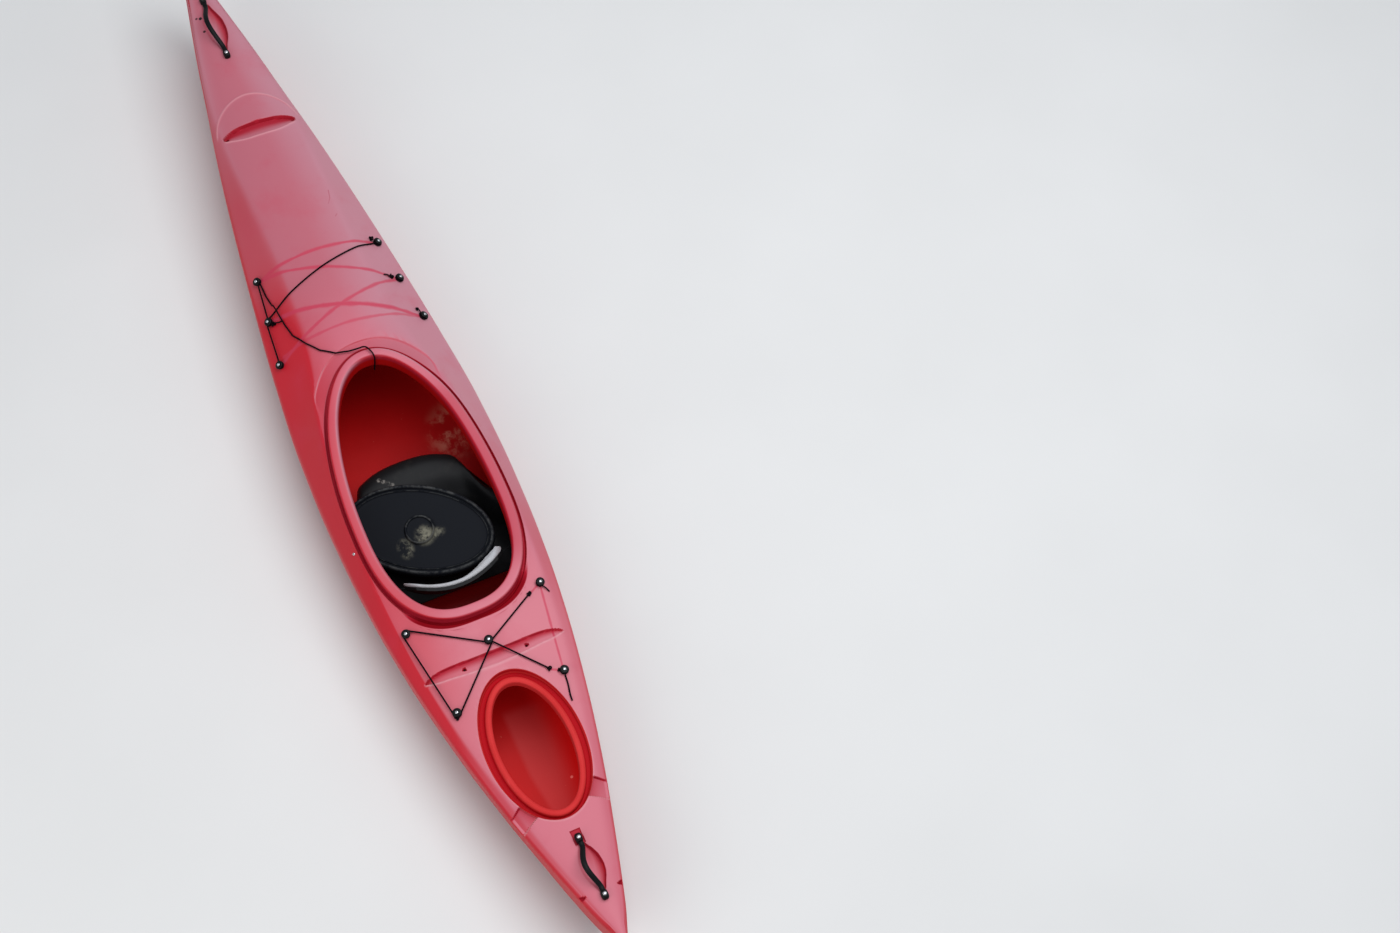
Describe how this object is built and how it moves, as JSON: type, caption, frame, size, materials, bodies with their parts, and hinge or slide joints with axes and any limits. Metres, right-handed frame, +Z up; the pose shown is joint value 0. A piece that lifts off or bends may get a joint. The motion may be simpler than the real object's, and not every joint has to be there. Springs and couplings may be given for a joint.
{
  "type": "sit-in touring kayak",
  "caption": "Sit-in touring kayak in moulded plastic with coaming, seat, folding backrest, open rear hatch and its cover lying on the seat.",
  "frame": {"origin": "centre of the footprint, on the ground plane under the keel", "axes": "+X to the bow, +Y to port, +Z up"},
  "size_m": [3.85, 0.618, 0.3862],
  "materials": {
    "deck_plastic": "sun-faded red moulded plastic",
    "hull_plastic": "red moulded plastic",
    "rim_plastic": "unfaded red moulded plastic",
    "black_plastic": "black moulded plastic",
    "cover_rubber": "dusty black rubber",
    "backrest_fabric": "light grey padded cloth",
    "strap_webbing": "black webbing",
    "cord": "black elastic cord",
    "steel": "stainless",
    "foam": "dark closed-cell foam"
  },
  "bodies": {
    "boat": {"aftdeck_cord": "cord", "aftdeck_short_cord": "cord", "bow_handle_bracket_front": "black_plastic", "bow_handle_bracket_rear": "black_plastic", "bow_handle_grip": "black_plastic", "cockpit_coaming": "deck_plastic", "deck_bow": "deck_plastic", "deck_middle": "deck_plastic", "deck_stern": "deck_plastic", "eye_centre": "black_plastic", "eye_port_1": "black_plastic", "eye_port_2": "black_plastic", "eye_port_3": "black_plastic", "eye_port_4": "black_plastic", "eye_port_5": "black_plastic", "eye_starboard_1": "black_plastic", "eye_starboard_2": "black_plastic", "eye_starboard_3": "black_plastic", "eye_starboard_4": "black_plastic", "eye_starboard_5": "black_plastic", "foot_rail_port": "black_plastic", "foot_rail_starboard": "black_plastic", "foredeck_cord": "cord", "foredeck_short_cord": "cord", "hatch_rim": "rim_plastic", "hull_bow": "hull_plastic", "hull_middle": "hull_plastic", "hull_stern": "hull_plastic", "rear_bulkhead": "foam", "seat": "black_plastic", "seat_bolt_port": "steel", "seat_bolt_starboard": "steel", "seat_hanger_port": "black_plastic", "seat_hanger_starboard": "black_plastic", "slack_cord": "cord", "stern_handle_bracket_front": "black_plastic", "stern_handle_bracket_rear": "black_plastic", "stern_handle_grip": "black_plastic", "tail_cord": "cord"},
    "backrest": {"backrest_pad": "backrest_fabric", "backrest_shell": "black_plastic", "backrest_strap_port": "strap_webbing", "backrest_strap_starboard": "strap_webbing"},
    "hatch_cover_body": {"hatch_cover": "cover_rubber"},
    "pedal_port": {"foot_pedal_port": "black_plastic"},
    "pedal_starboard": {"foot_pedal_starboard": "black_plastic"}
  },
  "joints": [
    {"name": "backrest_fold", "type": "hinge", "parent": "boat", "child": "backrest", "pos_m": [-0.584, 0, 0.168], "axis": [0, 1, 0], "range_deg": [0, 18]},
    {"name": "cover_lift", "type": "slide", "parent": "boat", "child": "hatch_cover_body", "axis": [0, 0, 1], "range_m": [0, 0.04]},
    {"name": "pedal_port_slide", "type": "slide", "parent": "boat", "child": "pedal_port", "axis": [0.9927, -0.1204, 0], "range_m": [-0.15, 0.15]},
    {"name": "pedal_starboard_slide", "type": "slide", "parent": "boat", "child": "pedal_starboard", "axis": [0.9927, 0.1204, 0], "range_m": [-0.15, 0.15]}
  ]
}
